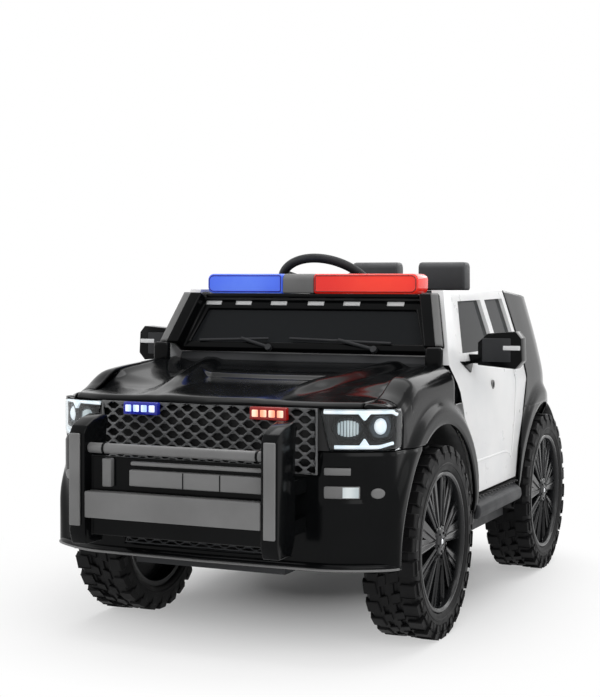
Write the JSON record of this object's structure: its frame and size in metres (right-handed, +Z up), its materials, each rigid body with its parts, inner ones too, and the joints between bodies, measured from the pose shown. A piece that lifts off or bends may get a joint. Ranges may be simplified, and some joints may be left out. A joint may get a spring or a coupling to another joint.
{
  "type": "ride-on toy police SUV",
  "caption": "Child's open-top ride-on toy police SUV with black and white moulded body, bull bar, red and blue light bar, opening doors and steered front wheels.",
  "frame": {"origin": "on the floor under the middle of the bounding box, wheels on the floor", "axes": "+Z up, the nose towards -Y, the car's left side towards +X"},
  "size_m": [0.768, 1.27, 0.6468],
  "materials": {
    "black_gloss": "glossy moulded polypropylene",
    "grey_trim": "grained moulded plastic",
    "white_gloss": "glossy moulded polypropylene",
    "satin_grey": "satin painted plastic",
    "lens_blue": "clear tinted lens",
    "lens_red": "clear tinted lens",
    "smoked_pane": "smoked clear plastic",
    "lamp_body": "lamp housing",
    "lamp_lens": "clear plastic",
    "steel": "plated steel",
    "tyre": "blow-moulded plastic tyre"
  },
  "bodies": {
    "body": {"chassis": "grey_trim", "front_bumper": "black_gloss", "grille": "black_gloss", "bull_bar": "black_gloss", "bull_trim": "satin_grey", "bull_board": "satin_grey", "fog_bars": "satin_grey", "hood": "black_gloss", "fender_left": "black_gloss", "fender_right": "black_gloss", "headlamps": "lamp_body", "headlamp_lenses": "lamp_lens", "strobe_blue": "lens_blue", "strobe_red": "lens_red", "windscreen_frame": "black_gloss", "windscreen": "smoked_pane", "lightbar_base": "black_gloss", "lightbar_blue": "lens_blue", "lightbar_red": "lens_red", "lightbar_block": "satin_grey", "dashboard": "grey_trim", "seat": "grey_trim", "headrests": "grey_trim", "side_steps": "grey_trim", "quarter_left": "black_gloss", "quarter_right": "black_gloss", "tailgate": "black_gloss", "rear_pane": "smoked_pane", "rear_bumper": "black_gloss", "tail_lamps": "lens_red", "front_beam": "steel", "rear_axle": "steel", "drive_units": "grey_trim", "battery": "grey_trim"},
    "door_left": {"door_left": "white_gloss", "door_panes_left": "smoked_pane", "mirror_left": "black_gloss"},
    "door_right": {"door_right": "white_gloss", "door_panes_right": "smoked_pane", "mirror_right": "black_gloss"},
    "steering_wheel": {"steering_wheel": "grey_trim"},
    "knuckle_left": {"knuckle_left": "steel"},
    "knuckle_right": {"knuckle_right": "steel"},
    "tie_rod": {"tie_rod": "steel"},
    "wheel_front_left": {"rim_front_left": "black_gloss", "tyre_front_left": "tyre"},
    "wheel_front_right": {"rim_front_right": "black_gloss", "tyre_front_right": "tyre"},
    "wheel_rear_left": {"rim_rear_left": "black_gloss", "tyre_rear_left": "tyre"},
    "wheel_rear_right": {"rim_rear_right": "black_gloss", "tyre_rear_right": "tyre"}
  },
  "joints": [
    {"name": "steer_left", "type": "hinge", "parent": "body", "child": "knuckle_left", "pos_m": [0.185, -0.252, 0.16], "axis": [0, 0, 1], "range_deg": [-22, 22]},
    {"name": "steer_right", "type": "hinge", "parent": "body", "child": "knuckle_right", "pos_m": [-0.185, -0.252, 0.16], "axis": [0, 0, 1], "range_deg": [-22, 22]},
    {"name": "tie_rod_pivot", "type": "hinge", "parent": "knuckle_left", "child": "tie_rod", "pos_m": [0.185, -0.192, 0.158], "axis": [0, 0, 1], "range_deg": [-22, 22]},
    {"name": "steering_turn", "type": "hinge", "parent": "body", "child": "steering_wheel", "pos_m": [-0.076, 0.167, 0.576], "axis": [0, 0.6468, 0.7627], "range_deg": [-60, 60]},
    {"name": "wheel_front_left_spin", "type": "hinge", "parent": "knuckle_left", "child": "wheel_front_left", "pos_m": [0.265, -0.252, 0.16], "axis": [1, 0, 0], "continuous": true},
    {"name": "wheel_front_right_spin", "type": "hinge", "parent": "knuckle_right", "child": "wheel_front_right", "pos_m": [-0.265, -0.252, 0.16], "axis": [1, 0, 0], "continuous": true},
    {"name": "wheel_rear_left_spin", "type": "hinge", "parent": "body", "child": "wheel_rear_left", "pos_m": [0.265, 0.428, 0.16], "axis": [1, 0, 0], "continuous": true},
    {"name": "wheel_rear_right_spin", "type": "hinge", "parent": "body", "child": "wheel_rear_right", "pos_m": [-0.265, 0.428, 0.16], "axis": [1, 0, 0], "continuous": true},
    {"name": "door_left_open", "type": "hinge", "parent": "body", "child": "door_left", "pos_m": [0.284, -0.155, 0.4], "axis": [0, 0, -1], "range_deg": [0, 58]},
    {"name": "door_right_open", "type": "hinge", "parent": "body", "child": "door_right", "pos_m": [-0.284, -0.155, 0.4], "axis": [0, 0, 1], "range_deg": [0, 58]}
  ],
  "couplings": [
    {"joint": "steer_right", "follows": "steer_left", "ratio": 1},
    {"joint": "tie_rod_pivot", "follows": "steer_left", "ratio": -1},
    {"joint": "steering_turn", "follows": "steer_left", "ratio": 2.5}
  ]
}
